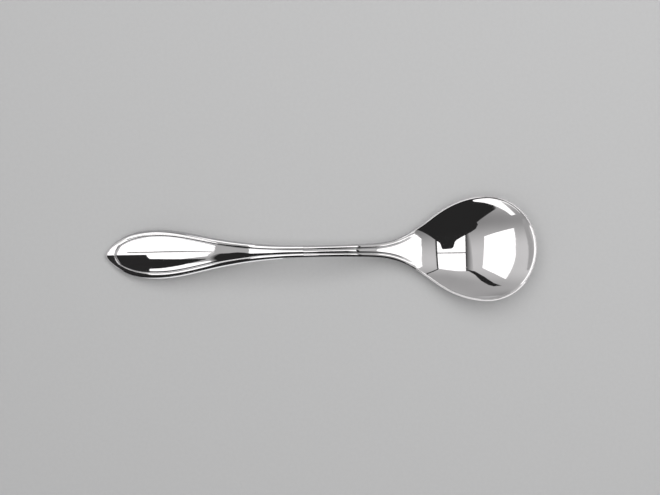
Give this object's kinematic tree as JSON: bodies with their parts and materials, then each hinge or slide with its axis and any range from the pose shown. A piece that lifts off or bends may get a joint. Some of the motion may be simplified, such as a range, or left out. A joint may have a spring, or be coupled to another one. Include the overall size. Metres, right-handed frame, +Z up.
{
  "type": "sugar spoon",
  "caption": "Small mirror-polished sugar spoon with a wide egg-shaped bowl, a slim neck and a pointed handle edged by a raised thread and a groove.",
  "frame": {"origin": "on the table, under the middle of the spoon's length, where the spoon lies with its bowl's hollow up", "axes": "+X along the spoon towards the bowl's front, +Z up out of the bowl's hollow, +Y across the spoon"},
  "size_m": [0.14, 0.034, 0.0115],
  "materials": {
    "bowl_metal": "mirror-polished, silver colour",
    "handle_metal": "mirror-polished, silver colour"
  },
  "bodies": {
    "root": {"bowl": "bowl_metal", "handle": "handle_metal"}
  },
  "joints": []
}
